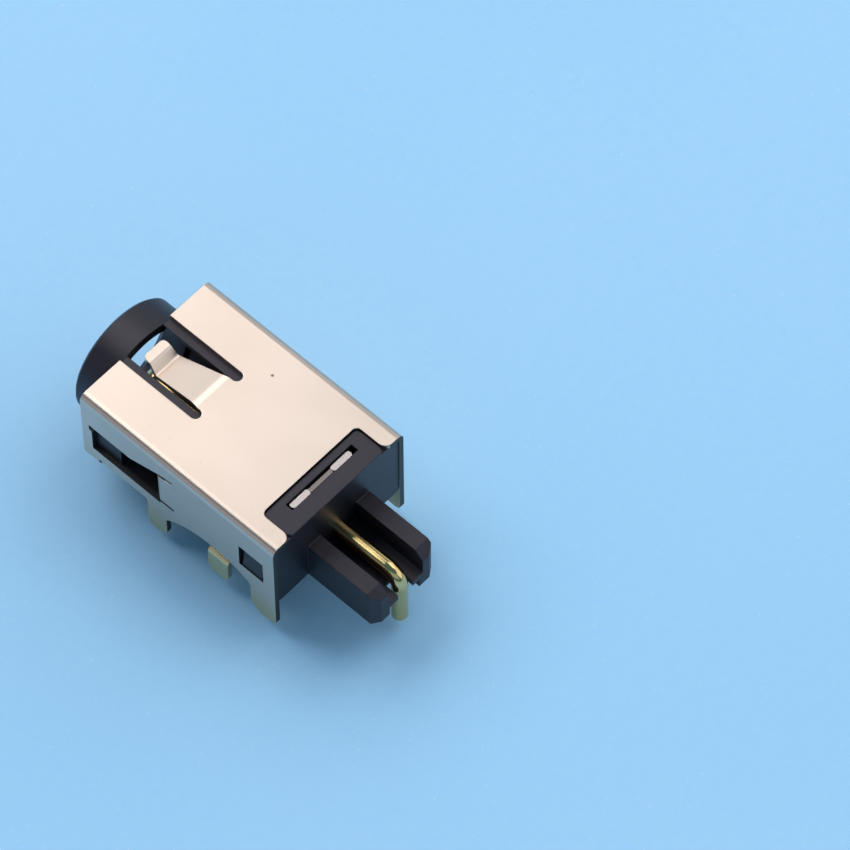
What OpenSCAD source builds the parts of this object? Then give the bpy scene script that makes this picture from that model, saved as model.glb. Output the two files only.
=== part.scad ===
// DC barrel jack for a 4.0 x 1.35 mm plug, sunk into a cut-out of the board.
// Millimetres. X is the width, Y runs from the plug's mouth back to the tail, Z is up.
// The plug's axis is the Y axis, and Y = 0 is the front edge of the metal shell.

/* [Plug] */
// Bore that guides the plug's barrel, diameter
bore_d = 4.2; // [4.1:0.05:4.3]
// Contact pin that enters the plug, diameter
pin_d = 1.3; // [1.2:0.05:1.35]
// Round collar in front of the shell, diameter
collar_d = 5.1; // [5.05:0.05:5.2]
// How far the collar stands out in front of the shell
collar_l = 1.42; // [1.2:0.02:1.6]
// Depth of the plug's room behind the shell's front edge
room_l = 7.9; // [7.8:0.05:8]

/* [Shell] */
// Width over the bent sheet
shell_w = 7; // [6.9:0.05:7.2]
// Length of the bent sheet
shell_l = 9.9; // [9.85:0.05:10]
// Sheet thickness
sheet = 0.22; // [0.18:0.02:0.24]
// Outer radius of the two long bends
shell_r = 0.35; // [0.3:0.05:0.45]
// Depth of the four solder legs below the plug's axis
leg_z = 2.85; // [2.65:0.05:3.2]

/* [Housing] */
// Plug's axis above the face that sits on the board
board_z = 1.37; // [1.33:0.02:1.43]
// Bottom of the sunk box below the plug's axis
box_z = 3.4; // [3.3:0.05:3.5]
// Width of the sunk box
box_w = 3.26; // [3:0.02:3.4]
// Rear end of the sunk box
box_l = 8.22; // [8.1:0.02:8.3]

/* [Tail] */
// Width of the tail over both prongs
tail_w = 3.3; // [3.1:0.1:3.5]
// Rear end of the prongs
tail_l = 13.24; // [13.2:0.02:13.4]
// Top of the prongs above the plug's axis
tail_top = 0.62; // [0.55:0.01:0.7]
// Gap between the prongs
tail_gap = 1.9; // [1.8:0.05:2]
// Tail of the pin, diameter
wire_d = 0.65; // [0.55:0.05:0.7]
// Where the pin's tail turns down, from the shell's front edge
wire_y = 12.93; // [12.85:0.02:13]
// End of the pin's tail below the plug's axis
wire_z = 2.9; // [2.6:0.1:3.1]

/* [Sleeve contact] */
// Strip thickness
strip_t = 0.2; // [0.16:0.02:0.22]
// Distance between the middles of the two arms
arm_gap = 5.3; // [5.26:0.02:5.34]
// Depth of the two solder legs below the plug's axis
contact_z = 2.63; // [2.4:0.1:2.9]

/* [Hidden] */
$fn = 72;
bend_steps = 6;
eps = 0.01;
far = 20;
shell_top = collar_d / 2;
inner_w = shell_w - 2 * sheet;
inner_top = shell_top - sheet;
wall_x = (shell_w - sheet) / 2;

// collar and plug's room
mouth_r = 2.33;
mouth_l = 0.25;
collar_edge = 0.12;
room_r = bore_d / 2 + 0.2;

// top of the shell
tongue_root_y = 3.56;
tongue_root_x = 0.88;
slot_x = 1.34;
slot_end_y = 3.91;
notch_x = 2.55;
notch_y = 8.42;
notch_r = 0.25;
lug_r = 0.35;

// sides of the shell
skirt_z = 1.15;
front_leg = [3.28, 4.27];
rear_leg_y = 8.62;
web_z = 1.6;
arch_r = 3.8;
arch_y = 6.7;
arch_top_z = 0.7;
arch_fillet = 0.35;
tab_l = 0.78;
tab_x = 2.77;
finger_y = 4.03;
finger_tip_y = 2.1;
window_y = 0.5;
window_z = [-0.6, 0.92];
window_rise = [2.5, 1.48];
slit_y = 4.72;
slit_t = 0.14;
slit_up = 0.12;
slit_rise = 0.13;
latch_y = [8.1, 9.33];
latch_z = [-0.3, 1];

// tail and rear wall
gap_floor_z = -0.56;
prong_chamfer = 0.4;
prong_corner = [0.35, 0.24];
recess_y = 12;
recess_x = [-0.75, 0.85];
recess_d = 0.5;
wire_bend = 0.62;
wire_slot = 0.8;

// room for the sleeve contact
pocket_y = 3.95;
pocket_x = 2.8;
pocket_z = 0.75;
web_y = 8.95;
web_gap = 0.35;
web_low_z = 0.8;
web_high_z = 1.75;
core_x = 1.25;
top_slot = [-1.88, 1.63];
arm_top = 0.55;
arm_front = 4.42;
bump_x = 2.12;
bump_window_y = [5.7, 7.4];
leg_y = [6.4, 7.43];
leg_x = 3.38;
leg_plate_z = board_z - strip_t / 2;

// ---- sheet-metal helpers

function unit(v) = v / norm(v);
function left(v) = [-v.y, v.x];
function turned(v, a) = [v.x * cos(a) - v.y * sin(a), v.x * sin(a) + v.y * cos(a)];

// the arc of radius r that replaces corner b between points a and c
function bend(a, b, c, r) =
    let (u = unit(b - a), w = unit(c - b), turn = atan2(u.x * w.y - u.y * w.x, u * w),
         s = sign(turn), centre = b - u * r * tan(abs(turn) / 2) + s * r * left(u))
    [for (k = [0:bend_steps]) centre - s * r * turned(left(u), turn * k / bend_steps)];

// r is one radius for all corners, or a list with one for each
function rounded(path, r) = concat(
    [path[0]],
    [for (i = [1:1:len(path) - 2]) each bend(path[i - 1], path[i], path[i + 1], is_list(r) ? r[i - 1] : r)],
    [path[len(path) - 1]]);

// the path moved sideways by d
function beside(path, d) = [
    for (i = [0:len(path) - 1])
        let (u = unit(i == 0 ? path[1] - path[0] : path[i] - path[i - 1]),
             w = i == len(path) - 1 ? u : unit(path[i + 1] - path[i]),
             n = unit(left(u) + left(w)))
        path[i] + n * d / (n * left(u))];

function backwards(list) = [for (i = [len(list) - 1:-1:0]) list[i]];

// a strip of thickness t seen on edge, along a path with bends of radius r
module strip(path, r, t) {
    middle = rounded(path, r);
    polygon(concat(beside(middle, t / 2), backwards(beside(middle, -t / 2))));
}

// an outline in X and Z, run along Y
module along_y(y0, y1) translate([0, y1, 0]) rotate([90, 0, 0]) linear_extrude(y1 - y0) children();

// an outline in Y and Z, run along X
module along_x(x0, x1) translate([x0, 0, 0]) rotate([90, 0, 90]) linear_extrude(x1 - x0) children();

// an outline in X and Y, run along Z
module along_z(z0, z1) translate([0, 0, z0]) linear_extrude(z1 - z0) children();

module block(x, y, z) translate([x[0], y[0], z[0]]) cube([x[1] - x[0], y[1] - y[0], z[1] - z[0]]);

module rod(d, y0, y1) translate([0, y1, 0]) rotate([90, 0, 0]) cylinder(d = d, h = y1 - y0);

module both_sides() {
    children();
    mirror([1, 0, 0]) children();
}

// rectangle from corner a to corner b with round corners
module round_rect(a, b, r) {
    translate(a + [r, 0]) square(b - a - [2 * r, 0]);
    translate(a + [0, r]) square(b - a - [0, 2 * r]);
    for (x = [a.x + r, b.x - r], y = [a.y + r, b.y - r]) translate([x, y]) circle(r);
}

// ---- shell: one sheet, bent to a channel, with tongue, fingers, tabs and legs

// the channel across, round at its two top corners
module channel_outline(w, top, r) {
    translate([-w / 2, -far]) square([w, far + top - r]);
    translate([-w / 2 + r, -far]) square([w - 2 * r, far + top]);
    for (x = [-1, 1]) translate([x * (w / 2 - r), top - r]) circle(r);
}

// middle of the fillet between the arch and the leg that ends or starts at y
function fillet_middle(y, side) =
    let (at = y + side * arch_fillet)
    [at, -arch_top_z - arch_r + sqrt(pow(arch_r - arch_fillet, 2) - pow(at - arch_y, 2))];

// the shallow arch between the legs, rounded into them
module arch() {
    middle = [arch_y, -arch_top_z - arch_r];
    front = fillet_middle(front_leg[1], 1);
    rear = fillet_middle(rear_leg_y, -1);
    intersection() {
        translate(middle) circle(arch_r);
        polygon([middle, middle + 2 * (front - middle), middle + 2 * (rear - middle)]);
    }
    translate(front) circle(arch_fillet);
    translate(rear) circle(arch_fillet);
    polygon([[front_leg[1], -far], [front_leg[1], front.y], front, rear, [rear_leg_y, rear.y],
             [rear_leg_y, -far]]);
}

// the opening for a spring finger, with the two slits that free the finger's root
module finger_window() {
    polygon([[window_y, window_z[0]], [finger_y, window_z[0]], [finger_y, window_rise[1]],
             [window_rise[0], window_z[1]], [window_y - 0.13, window_z[1]],
             [window_y - 0.13, window_z[1] - 0.3], [window_y, window_z[1] - 0.42]]);
    translate([finger_y - eps, window_z[0] + slit_up]) square([slit_y - finger_y, slit_t]);
    polygon([[finger_y - eps, window_rise[1] - slit_t], [slit_y, window_rise[1] - slit_t + slit_rise],
             [slit_y, window_rise[1] + slit_rise], [finger_y - eps, window_rise[1]]]);
}

// both side walls at once, with the legs and the arch between them
module side_outline() {
    front_r = 0.45;
    rear_r = [0.7, 0.28];
    difference() {
        union() {
            translate([0, -skirt_z]) square([shell_l, skirt_z + shell_top]);
            translate([front_leg[0], -web_z]) square([shell_l - front_leg[0], web_z]);
            round_rect([front_leg[0], -leg_z], [front_leg[1], 0], front_r);
            translate([rear_leg_y + rear_r[0], -leg_z])
                square([shell_l - rear_leg_y - rear_r[0] - rear_r[1], leg_z]);
            translate([rear_leg_y, -leg_z + rear_r[0]]) square([shell_l - rear_leg_y, leg_z - rear_r[0]]);
            translate([rear_leg_y + rear_r[0], -leg_z + rear_r[0]]) circle(rear_r[0]);
            translate([shell_l - rear_r[1], -leg_z + rear_r[1]]) {
                circle(rear_r[1]);
                translate([-rear_r[1], 0]) square([2 * rear_r[1], rear_r[0]]);
            }
        }
        arch();
        finger_window();
        translate([latch_y[0], latch_z[0]]) square([latch_y[1] - latch_y[0], latch_z[1] - latch_z[0]]);
    }
}

// what is cut from the top: the tongue's field with its two slots, and the rear notch
module top_cuts() {
    slot_r = (slot_x - tongue_root_x) / 2;
    translate([-slot_x, -1]) square([2 * slot_x, tongue_root_y + 1]);
    for (x = [-1, 1]) translate([x * (tongue_root_x + slot_r), 0]) {
        translate([-slot_r, 0]) square([2 * slot_r, slot_end_y - slot_r]);
        translate([0, slot_end_y - slot_r]) circle(slot_r);
    }
    round_rect([-notch_x, notch_y], [notch_x, far], notch_r);
    for (x = [-1, 1]) mirror([x < 0 ? 1 : 0, 0]) difference() {
        translate([notch_x - eps, shell_l - lug_r]) square([lug_r, far]);
        translate([notch_x + lug_r, shell_l - lug_r]) circle(lug_r);
    }
}

// the tongue dips into the bore, turns up again and ends in a flat lip
module tongue() {
    lip_x = 0.56;
    lip_y = 0.4;
    lip_r = 0.2;
    plan = [[tongue_root_x, far], [tongue_root_x, tongue_root_y], [0.8, 3.1], [0.62, 1.12], [lip_x, 0.8]];
    intersection() {
        along_x(-2, 2)
            strip([[tongue_root_y + 0.3, shell_top - sheet / 2], [3.38, shell_top - sheet / 2],
                   [1.08, 1.68], [0.73, 2.1], [lip_y - 0.12, 2.21]], [1, 0.2, 0.16], sheet);
        along_z(-far, far) {
            polygon(concat(plan, [for (p = backwards(plan)) [-p.x, p.y]]));
            round_rect([-lip_x, lip_y], [lip_x, 1], lip_r);
        }
    }
}

// the finger turns in from the side wall to press on the plug
module spring_finger()
    along_z(window_z[0] + slit_up + slit_t, window_rise[1] - slit_t)
        strip([[wall_x, slit_y + 0.2], [wall_x, finger_y], [2.16, 2.6], [2.34, finger_tip_y]], 0.16, sheet);

// the tab folds under the housing's front corner
module clamp_tab()
    intersection() {
        along_y(0, tab_l)
            strip([[wall_x, -skirt_z + 0.3], [wall_x, -board_z - sheet / 2], [tab_x, -board_z - sheet / 2]],
                  0.22, sheet);
        along_z(-far, far) round_rect([tab_x, 0], [shell_w, tab_l], 0.2);
    }

module shell() color([0.86, 0.84, 0.82]) {
    difference() {
        intersection() {
            along_y(0, shell_l) difference() {
                channel_outline(shell_w, shell_top, shell_r);
                channel_outline(inner_w, inner_top, shell_r - sheet);
            }
            along_x(-shell_w, shell_w) side_outline();
        }
        along_z(inner_top - 0.2, far) top_cuts();
    }
    tongue();
    both_sides() {
        spring_finger();
        clamp_tab();
    }
}

// ---- housing: one moulding

// the sunk box from the side, with the shallow ramp towards the mouth
module box_outline() {
    front = 0.05;
    ramp_y = 2.26;
    ramp_rise = 0.47;
    polygon([[front, -board_z + 1], [front, -box_z + ramp_rise], [ramp_y, -box_z], [box_l, -box_z],
             [box_l, -board_z + 1]]);
}

// the tail from above, with its two rear corners cut off
module tail_plan() {
    half = tail_w / 2;
    polygon([[-half, shell_l - 1], [half, shell_l - 1], [half, tail_l - prong_corner.y],
             [half - prong_corner.x, tail_l], [-half + prong_corner.x, tail_l],
             [-half, tail_l - prong_corner.y]]);
}

// the tail from the side, with the prongs' rear top edge cut off
module tail_outline()
    polygon([[shell_l - 1, -board_z], [tail_l, -board_z], [tail_l, tail_top - prong_chamfer],
             [tail_l - prong_chamfer, tail_top], [shell_l - 1, tail_top]]);

// wedge that snaps into the shell's rear window
module latch_nub()
    along_y(latch_y[0] + 0.12, latch_y[1] - 0.12)
        polygon([[inner_w / 2 - 0.2, latch_z[1] - 0.1], [inner_w / 2, latch_z[1] - 0.1],
                 [shell_w / 2 - 0.05, latch_z[0] + 0.05], [inner_w / 2 - 0.2, latch_z[0] + 0.05]]);

// the body inside the shell, with its lower edges broken for the folded tabs
module body_outline() {
    half = inner_w / 2;
    edge = 0.14;
    intersection() {
        channel_outline(inner_w, inner_top, shell_r - sheet + 0.05);
        polygon([[-half, far], [-half, -board_z + edge], [-half + edge, -board_z],
                 [half - edge, -board_z], [half, -board_z + edge], [half, far]]);
    }
}

module housing_solid() {
    // collar with a slightly broken front edge, and the barrel that it leads into
    rotate([-90, 0, 0]) translate([0, 0, -collar_l]) {
        cylinder(r1 = collar_d / 2 - collar_edge, r2 = collar_d / 2, h = collar_edge);
        translate([0, 0, collar_edge]) cylinder(d = collar_d, h = collar_l - collar_edge);
    }
    difference() {
        rod(collar_d, -eps, box_l);
        block([-far, far], [0, far], [0, far]);
    }
    along_y(0, shell_l - 0.05) body_outline();
    // ledge that stands out under the shell's front edge
    both_sides() block([2.1, inner_w / 2 - 0.14], [-0.18, 1], [-board_z, -0.4]);
    // top of the rear wall, seen in the shell's notch
    along_z(inner_top - 0.5, shell_top - 0.1)
        round_rect([-notch_x + 0.04, notch_y + 0.04], [notch_x - 0.04, shell_l - 0.05], notch_r - 0.04);
    along_x(-box_w / 2, box_w / 2) box_outline();
    intersection() {
        along_x(-tail_w / 2, tail_w / 2) tail_outline();
        along_z(-far, far) tail_plan();
    }
    both_sides() latch_nub();
}

module bore() rotate([-90, 0, 0]) translate([0, 0, -collar_l]) {
    translate([0, 0, -eps]) cylinder(r1 = mouth_r + eps, r2 = bore_d / 2, h = mouth_l + eps);
    cylinder(d = bore_d, h = collar_l + eps);
    translate([0, 0, collar_l]) cylinder(r = room_r, h = room_l);
}

// pocket beside the barrel for one arm, its bump and its solder leg
module arm_pocket() {
    difference() {
        block([1.9, pocket_x], [pocket_y, web_y + web_gap / 2], [-board_z - eps, pocket_z]);
        rod(collar_d, 0, box_l);
        block([0, 2.35], [box_l, far], [-far, far]);
    }
    block([bump_x - 0.2, pocket_x], bump_window_y, [-board_z - 0.15, pocket_z]);
    block([pocket_x - eps, inner_w / 2 + 1], [leg_y[0] - 0.1, leg_y[1] + 0.1],
          [-board_z - eps, -board_z + 0.32]);
}

// slot across the rear for the contact's web, open upwards in the notch
module web_slot() along_y(web_y - web_gap / 2, web_y + web_gap / 2) {
    translate([top_slot[0], web_low_z]) square([top_slot[1] - top_slot[0], far]);
    difference() {
        translate([-pocket_x - 0.1, -far]) square([2 * pocket_x + 0.2, far + web_high_z + 0.05]);
        translate([-core_x, -far]) square([2 * core_x, far + web_low_z - 0.05]);
    }
}

module housing() color([0.16, 0.15, 0.17]) difference() {
    housing_solid();
    bore();
    // opening under the shell's tongue
    block([-0.95, 0.95], [0, 3.62], [0, far]);
    // openings for the spring fingers
    both_sides()
        block([1.9, far], [finger_tip_y - 0.3, finger_y + 0.3], [window_z[0] - 0.02, window_rise[1]]);
    both_sides() arm_pocket();
    web_slot();
    // seat of the contact pin
    rod(wire_d, room_l - eps, shell_l + eps);
    // gap between the prongs
    block([-tail_gap / 2, tail_gap / 2], [shell_l - 0.05, far], [gap_floor_z, far]);
    // recess under the tail and the open slot for the pin's end
    block(recess_x, [recess_y, far], [-far, -board_z + recess_d]);
    block([-wire_slot / 2, wire_slot / 2], [wire_y - wire_slot / 2, far], [-far, far]);
    // gate mark under the sunk box
    translate([-0.1, 3.74, -box_z - eps]) difference() {
        cylinder(r = 0.2, h = 0.05);
        cylinder(r = 0.13, h = 1);
    }
    translate([-0.1, 3.74, -box_z - eps]) cylinder(r = 0.07, h = 0.13);
}

// ---- centre pin: turned and plated, its tail bent down to the board

module centre_pin() color([0.86, 0.72, 0.36]) {
    translate([0, pin_d / 2, 0]) sphere(d = pin_d);
    rod(pin_d, pin_d / 2, room_l);
    rod(wire_d, room_l - eps, wire_y - wire_bend);
    translate([0, wire_y - wire_bend, -wire_bend]) rotate([90, 0, 90])
        rotate_extrude(angle = 90) translate([wire_bend, 0]) circle(d = wire_d);
    translate([0, wire_y, -wire_z + 0.1]) cylinder(d = wire_d, h = wire_z - wire_bend - 0.1);
    translate([0, wire_y, -wire_z]) cylinder(d1 = wire_d - 0.16, d2 = wire_d, h = 0.1);
}

// ---- sleeve contact: a strip folded to a U, with two arms, two bumps and two legs

// the strip from above
module contact_plan() {
    x = arm_gap / 2;
    half = [[x, web_y], [x, 7.3], [bump_x, 6.6], [x, 5.8], [x, arm_front]];
    strip(concat(backwards([for (p = half) [-p.x, p.y]]), half), 0.16, strip_t);
}

// the strip from the side: low arms, and the web's ends behind them
module contact_side() {
    translate([arm_front - 1, -board_z - 0.04]) square([far, board_z + 0.04 + arm_top]);
    translate([web_y - strip_t / 2 - 0.06, -board_z - 0.04]) square([far, board_z + 0.04 + web_high_z]);
}

// the web bridges the pin, and its top edge shows in the housing's slot
module contact_front() {
    wide = arm_gap / 2 + strip_t;
    difference() {
        translate([-wide, -board_z - 0.04]) square([2 * wide, far]);
        translate([-core_x - 0.1, -far]) square([2 * core_x + 0.2, far + web_low_z]);
    }
}

// top of the web: a thin blade with thicker ends that stand a little higher
module web_crest() {
    top = shell_top - 0.2;
    along_z(web_low_z + 0.3, top - 0.04) translate([-1.6, web_y - strip_t / 2]) square([3.1, strip_t]);
    for (x = [[-1.67, -0.64], [0.56, 1.53]])
        along_z(web_low_z + 0.3, top) round_rect([x[0], web_y - 0.14], [x[1], web_y + 0.14], 0.12);
}

module contact_leg()
    intersection() {
        along_y(leg_y[0], leg_y[1])
            strip([[arm_gap / 2, -0.7], [arm_gap / 2, -leg_plate_z], [leg_x, -leg_plate_z],
                   [leg_x, -contact_z]], 0.16, strip_t);
        along_x(0, far) round_rect([leg_y[0], -contact_z], [leg_y[1], far], 0.4);
    }

module sleeve_contact() color([0.88, 0.76, 0.42]) {
    intersection() {
        along_z(-far, far) contact_plan();
        along_x(-far, far) contact_side();
        along_y(-far, far) contact_front();
    }
    along_z(web_low_z, web_high_z) translate([-1.7, web_y - strip_t / 2]) square([3.2, strip_t]);
    web_crest();
    both_sides() contact_leg();
}

housing();
shell();
centre_pin();
sleeve_contact();
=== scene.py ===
"""The looks of the DC barrel jack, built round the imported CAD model.

Everything is in metres in the part's own frame: +Y runs from the plug's mouth to the tail,
+Z is up, and the origin lies on the plug's axis at the front edge of the metal shell.
"""
import math

import bpy
from mathutils import Matrix, Vector


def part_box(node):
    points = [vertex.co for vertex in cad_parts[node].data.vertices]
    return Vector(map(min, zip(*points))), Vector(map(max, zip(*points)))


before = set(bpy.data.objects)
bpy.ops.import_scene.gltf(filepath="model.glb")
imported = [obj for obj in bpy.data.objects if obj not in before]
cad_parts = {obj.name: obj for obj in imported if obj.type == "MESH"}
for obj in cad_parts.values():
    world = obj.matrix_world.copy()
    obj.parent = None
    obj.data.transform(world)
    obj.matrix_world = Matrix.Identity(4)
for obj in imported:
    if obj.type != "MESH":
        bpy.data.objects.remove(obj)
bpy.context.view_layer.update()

MM = 0.001
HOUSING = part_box("housing")
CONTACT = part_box("sleeve_contact")
FLOOR_Z = HOUSING[0].z
CREST_Z = CONTACT[1].z
SHELL_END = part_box("shell")[1].y


# ---- camera

AZIMUTH = 133.16
ELEVATION = 59.02
ROLL = -0.364
DISTANCE = 228.66 * MM
LENS = 254.1
SENSOR_WIDTH = 36
CLIP_RANGE = (0.01, 10)
AIM = Vector((-6.9, 7.81, 0)) * MM + Vector((0, 0, FLOOR_Z))


def make_camera():
    a, e = math.radians(AZIMUTH), math.radians(ELEVATION)
    back = Vector((math.sin(a) * math.cos(e), -math.cos(a) * math.cos(e), math.sin(e)))
    turn = Matrix.Rotation(math.radians(-ROLL), 3, -back)
    right = turn @ Vector((math.cos(a), math.sin(a), 0))
    up = back.cross(right)
    data = bpy.data.cameras.new("camera")
    data.lens = LENS
    data.sensor_width = SENSOR_WIDTH
    data.clip_start, data.clip_end = CLIP_RANGE
    camera = bpy.data.objects.new("camera", data)
    bpy.context.scene.collection.objects.link(camera)
    place = Matrix((right, up, back)).transposed().to_4x4()
    place.translation = AIM + back * DISTANCE
    camera.matrix_world = place
    bpy.context.scene.camera = camera


# ---- small helpers for the node trees


class Nodes:
    """A material's node tree, written from the surface backwards."""

    def __init__(self, name):
        self.material = bpy.data.materials.new(name)
        self.material.use_nodes = True
        self.tree = self.material.node_tree
        self.shader = self.tree.nodes["Principled BSDF"]
        self.coords = self.add("ShaderNodeTexCoord").outputs["Object"]

    def add(self, kind, **settings):
        node = self.tree.nodes.new(kind)
        for key, value in settings.items():
            setattr(node, key, value)
        return node

    def link(self, source, target):
        self.tree.links.new(source, target)

    def put(self, socket, value):
        """Links an output to the socket, or writes a plain value on it."""
        if isinstance(value, bpy.types.NodeSocket):
            self.link(value, socket)
        else:
            socket.default_value = value

    def surface(self, **values):
        """Sets the shader's sockets, named with underscores for spaces."""
        for key, value in values.items():
            self.put(self.shader.inputs[key.replace("_", " ")], value)

    def noise(self, cells, detail):
        """Smooth noise with the given number of cells per metre along each axis."""
        mapping = self.add("ShaderNodeMapping")
        self.link(self.coords, mapping.inputs["Vector"])
        mapping.inputs["Scale"].default_value = cells
        node = self.add("ShaderNodeTexNoise")
        self.link(mapping.outputs["Vector"], node.inputs["Vector"])
        node.inputs["Scale"].default_value = 1.0
        node.inputs["Detail"].default_value = detail
        node.inputs["Roughness"].default_value = 0.55
        return node.outputs["Fac"]

    def ramp(self, value, low, high, start=0.0, end=1.0):
        """The value's range low..high mapped smoothly to start..end."""
        node = self.add("ShaderNodeMapRange", interpolation_type="SMOOTHSTEP")
        self.link(value, node.inputs["Value"])
        node.inputs["From Min"].default_value = low
        node.inputs["From Max"].default_value = high
        node.inputs["To Min"].default_value = start
        node.inputs["To Max"].default_value = end
        return node.outputs["Result"]

    def mix(self, factor, a, b):
        node = self.add("ShaderNodeMix", data_type="RGBA")
        self.put(node.inputs["Factor"], factor)
        self.put(node.inputs["A"], a)
        self.put(node.inputs["B"], b)
        return node.outputs["Result"]

    def math(self, operation, a, b):
        node = self.add("ShaderNodeMath", operation=operation)
        self.put(node.inputs[0], a)
        self.put(node.inputs[1], b)
        return node.outputs[0]

    def distance(self, point):
        node = self.add("ShaderNodeVectorMath", operation="DISTANCE")
        self.link(self.coords, node.inputs[0])
        node.inputs[1].default_value = point
        return node.outputs["Value"]

    def axis(self, letter, vector=None):
        """One component of a vector, or of the object's own coordinates."""
        node = self.add("ShaderNodeSeparateXYZ")
        self.link(vector or self.coords, node.inputs[0])
        return node.outputs[letter]

    def bump(self, height, depth, normal):
        node = self.add("ShaderNodeBump")
        node.inputs["Distance"].default_value = depth
        self.link(height, node.inputs["Height"])
        self.link(normal, node.inputs["Normal"])
        return node.outputs["Normal"]

    def soft_edges(self, radius):
        """Normals that turn over sharp edges, as on any stamped or moulded piece."""
        node = self.add("ShaderNodeBevel", samples=6)
        node.inputs["Radius"].default_value = radius
        return node.outputs["Normal"]


def rgb(*display):
    """A colour written as 0..255 display values, as the linear colour a socket takes."""
    linear = [((c / 255 + 0.055) / 1.055) ** 2.4 if c > 10 else c / 255 / 12.92 for c in display]
    return (*linear, 1.0)


# ---- materials

# Each plain surface drifts between two shades.
NICKEL = rgb(215, 193, 177), rgb(220, 198, 182)
NICKEL_SPECK = rgb(196, 172, 157)
NICKEL_PIT = rgb(120, 102, 92)
NICKEL_GILDED = rgb(219, 192, 150)
# Dark of the stamped edges: partly bare metal, partly painted shade.
SHEARED_METAL_AND_SHADE = rgb(84, 80, 80)
PIN_GOLD = rgb(226, 194, 134), rgb(216, 182, 120)
SPRING_GOLD = rgb(230, 206, 156), rgb(222, 196, 142)
CREST = rgb(190, 176, 170)
CREST_DIP = rgb(128, 117, 112)
BLACK = rgb(13, 11, 16), rgb(19, 16, 22)
PAPER = rgb(175, 221, 253), rgb(180, 224, 255)
PAPER_FIBRE = rgb(155, 209, 250)
PAPER_GLITTER = rgb(236, 244, 252)

METAL_EDGE = 0.04 * MM
PLASTIC_EDGE = 0.06 * MM

# A small dark pit in the plating on the shell's top, and its inner and outer radius.
PIT = Vector((-2.02, 4.63, 2.55)) * MM
PIT_RADII = 0.03 * MM, 0.09 * MM
# The gold on the shell sets in below the first height and is full at the second.
GILDED_Z = -0.5 * MM, -2.7 * MM
# Cut edges that face upwards, darkened partly as bare metal and partly with painted shade, lie
# below this height
#  on the side walls and their spring fingers, which stand outside this distance from the middle.
SHADED_EDGE_Z = 1.4 * MM
WALL_X = 2.3 * MM
SHEARED_ROUGHNESS = 0.25


def sheared_and_shaded(m):
    """1 on the stamped edges that face forwards or backwards, or upwards low on the side walls;
    these are darkened partly as bare metal and partly with painted shade.
    """
    face = m.add("ShaderNodeNewGeometry")
    turn = m.add("ShaderNodeVectorTransform", vector_type="NORMAL",
                 convert_from="WORLD", convert_to="OBJECT")
    m.link(face.outputs["True Normal"], turn.inputs[0])
    normal = turn.outputs[0]
    along = m.math("GREATER_THAN", m.math("ABSOLUTE", m.axis("Y", normal), 0), 0.97)
    upward = m.math("GREATER_THAN", m.axis("Z", normal), 0.75)
    low = m.math("LESS_THAN", m.axis("Z"), SHADED_EDGE_Z)
    on_wall = m.math("GREATER_THAN", m.math("ABSOLUTE", m.axis("X"), 0), WALL_X)
    return m.math("MAXIMUM", along, m.math("MULTIPLY", upward, m.math("MULTIPLY", low, on_wall)))


def plated_shell():
    """Bright nickel over rolled sheet, with thin gold on the soldered lower edge."""
    m = Nodes("plated_shell")
    cloud = m.noise((420, 260, 420), 1)
    polish = m.noise((320, 200, 320), 0)
    specks = m.noise((5200, 5200, 5200), 1)
    inner, outer = PIT_RADII
    plated = m.mix(m.ramp(cloud, 0.3, 0.7), *NICKEL)
    plated = m.mix(m.ramp(specks, 0.77, 0.82), plated, NICKEL_SPECK)
    plated = m.mix(m.ramp(m.distance(PIT), outer, inner), plated, NICKEL_PIT)
    plated = m.mix(m.ramp(m.axis("Z"), *GILDED_Z), plated, NICKEL_GILDED)
    # Stamped edges are darker and rougher: partly bare metal, partly painted shade.
    cut_and_shade = sheared_and_shaded(m)
    satin = m.ramp(polish, 0.1, 0.9, 0.278, 0.3)
    m.surface(
        Base_Color=m.mix(cut_and_shade, plated, SHEARED_METAL_AND_SHADE),
        Metallic=1.0,
        Roughness=m.math("ADD", satin, m.math("MULTIPLY", cut_and_shade, SHEARED_ROUGHNESS)),
        Normal=m.soft_edges(METAL_EDGE),
    )
    return m.material


def gold(name, shades, roughness, dents):
    """Thin gold plate, a little uneven where the metal was bent. Dents are given as a depth."""
    m = Nodes(name)
    cloud = m.noise((900, 900, 900), 3)
    lumps = m.noise((1100, 800, 1100), 0)
    m.colour = m.mix(m.ramp(cloud, 0.35, 0.7), *shades)
    m.surface(
        Base_Color=m.colour,
        Metallic=1.0,
        Roughness=m.ramp(cloud, 0.25, 0.75, roughness, roughness + 0.05),
        Normal=m.bump(lumps, dents, m.soft_edges(METAL_EDGE)),
    )
    return m


def gold_spring():
    """The strip's gold, and the bare silvery crest of the web with a darker, lower middle."""
    m = gold("gold_spring", SPRING_GOLD, 0.2, 0.003 * MM)
    z = m.axis("Z")
    crest = m.mix(m.ramp(z, CREST_Z - 0.03 * MM, CREST_Z - 0.01 * MM), CREST_DIP, CREST)
    bare = m.ramp(z, CREST_Z - 0.5 * MM, CREST_Z - 0.4 * MM)
    m.surface(Base_Color=m.mix(bare, m.colour, crest))
    return m.material


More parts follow.
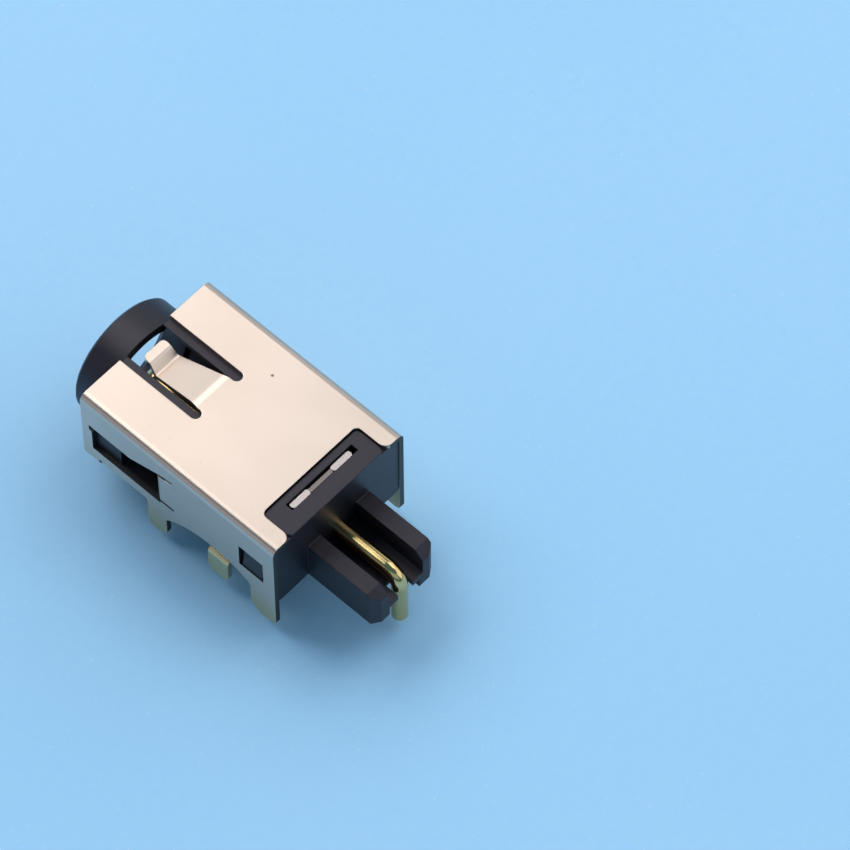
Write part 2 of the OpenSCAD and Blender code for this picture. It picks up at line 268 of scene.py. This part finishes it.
def black_moulding():
    """Black plastic: a fine even texture with a satin sheen, duller on the tail."""
    m = Nodes("black_moulding")
    fine = m.noise((14000, 14000, 14000), 3)
    cloud = m.noise((500, 500, 500), 3)
    satin = m.ramp(fine, 0.25, 0.75, 0.4, 0.48)
    dull = m.ramp(m.axis("Y"), SHELL_END, SHELL_END + 1.5 * MM, 0, 0.1)
    m.surface(
        Base_Color=m.mix(m.ramp(cloud, 0.3, 0.7), *BLACK),
        Roughness=m.math("ADD", satin, dull),
        Specular_IOR_Level=0.6,
        Specular_Tint=(1.0, 0.87, 0.98, 1.0),
        Normal=m.bump(fine, 0.002 * MM, m.soft_edges(PLASTIC_EDGE)),
    )
    return m.material


def dress_nodes():
    looks = {
        "shell": plated_shell(),
        "housing": black_moulding(),
        "centre_pin": gold("gold_pin", PIN_GOLD, 0.13, 0.02 * MM).material,
        "sleeve_contact": gold_spring(),
    }
    for name, material in looks.items():
        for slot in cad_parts[name].material_slots:
            slot.material = material


# ---- floor and light

FLOOR_HALF = 2.0


def make_floor():
    """A sheet of pale blue paper with fine fibres and a few glittering specks."""
    mesh = bpy.data.meshes.new("floor")
    corners = [(x * FLOOR_HALF, y * FLOOR_HALF, FLOOR_Z)
               for x, y in ((-1, -1), (1, -1), (1, 1), (-1, 1))]
    mesh.from_pydata(corners, [], [(0, 1, 2, 3)])
    floor = bpy.data.objects.new("floor", mesh)
    bpy.context.scene.collection.objects.link(floor)
    m = Nodes("floor_paper")
    cloud = m.noise((30, 30, 30), 2)
    fibre = m.noise((2600, 2600, 2600), 2)
    glitter = m.noise((9000, 9000, 9000), 0)
    paper = m.mix(m.ramp(cloud, 0.35, 0.65), *PAPER)
    paper = m.mix(m.ramp(fibre, 0.3, 0.7, 0, 0.12), paper, PAPER_FIBRE)
    paper = m.mix(m.ramp(glitter, 0.8, 0.86, 0, 0.35), paper, PAPER_GLITTER)
    m.surface(Base_Color=paper, Roughness=0.8, Specular_IOR_Level=0.2)
    mesh.materials.append(m.material)


WHITE = (1, 1, 1)
WARM = (1, 0.72, 0.6)
COOL = (0.65, 0.86, 1)
# Each soft box: its azimuth from +X towards +Y and its elevation, in degrees, its width and
# height in metres, its radiance and its colour.
SOFT_BOXES = {
    "side": (-85, 50, 0.4, 0.42, 2.55, WHITE),
    "back": (-120, 48, 0.3, 0.3, 1.6, WHITE),
    "low_back": (-138, 25, 0.8, 0.3, 0.66, WHITE),
    "low_side": (142, 28, 1.0, 0.5, 1.02, WHITE),
    "high": (166, 62, 0.36, 0.3, 1.85, WHITE),
    "warm": (-22, 20, 0.5, 0.3, 0.4, WARM),
    "fill": (48, 30, 0.8, 0.3, 0.4, COOL),
}
BOX_DISTANCE = 0.6
LIT_POINT = Vector((0, 5 * MM, 0))
SKY = (0.3, 0.68, 1.0, 1.0)
SKY_STRENGTH = 0.26


def light_scene():
    for name, (azimuth, elevation, width, height, radiance, colour) in SOFT_BOXES.items():
        a, e = math.radians(azimuth), math.radians(elevation)
        direction = Vector((math.cos(a) * math.cos(e), math.sin(a) * math.cos(e), math.sin(e)))
        data = bpy.data.lights.new(name, "AREA")
        data.shape = "RECTANGLE"
        data.size, data.size_y = width, height
        data.energy = math.pi * width * height * radiance
        data.color = colour
        lamp = bpy.data.objects.new(name, data)
        bpy.context.scene.collection.objects.link(lamp)
        lamp.location = LIT_POINT + direction * BOX_DISTANCE
        lamp.rotation_mode = "QUATERNION"
        lamp.rotation_quaternion = (-direction).to_track_quat("-Z", "Y")
    world = bpy.data.worlds.new("studio")
    bpy.context.scene.world = world
    world.use_nodes = True
    background = world.node_tree.nodes["Background"]
    background.inputs["Color"].default_value = SKY
    background.inputs["Strength"].default_value = SKY_STRENGTH


make_camera()
dress_nodes()
make_floor()
light_scene()
bpy.context.scene.view_settings.view_transform = "Standard"
